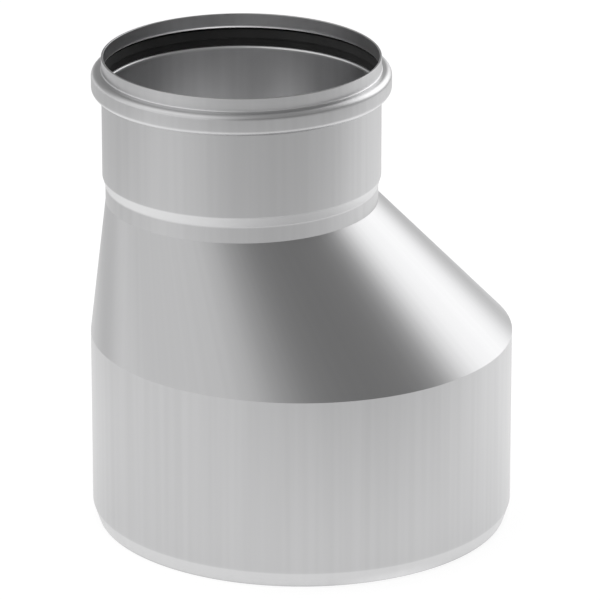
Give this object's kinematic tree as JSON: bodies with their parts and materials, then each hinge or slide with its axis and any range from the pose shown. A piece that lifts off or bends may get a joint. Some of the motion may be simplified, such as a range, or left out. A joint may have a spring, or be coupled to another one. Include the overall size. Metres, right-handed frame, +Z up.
{
  "type": "eccentric flue pipe reducer",
  "caption": "Eccentric sheet-metal reducer for round flue pipe: wide spigot below, set-over cone, and a beaded socket with a black lip seal on top.",
  "frame": {"origin": "centre of the wide spigot's end, on the plane that the reducer stands on", "axes": "+Z up along the spigot's axis to the socket; -X is the straight side, towards which the socket's axis is set over"},
  "size_m": [0.2062, 0.2, 0.221],
  "materials": {
    "satin_steel": "satin, even grey, as rolled stainless sheet",
    "seal_rubber": "matt black"
  },
  "bodies": {
    "root": {"spigot_tube": "satin_steel", "eccentric_cone": "satin_steel", "socket_collar": "satin_steel", "lip_seal": "seal_rubber"}
  },
  "joints": []
}
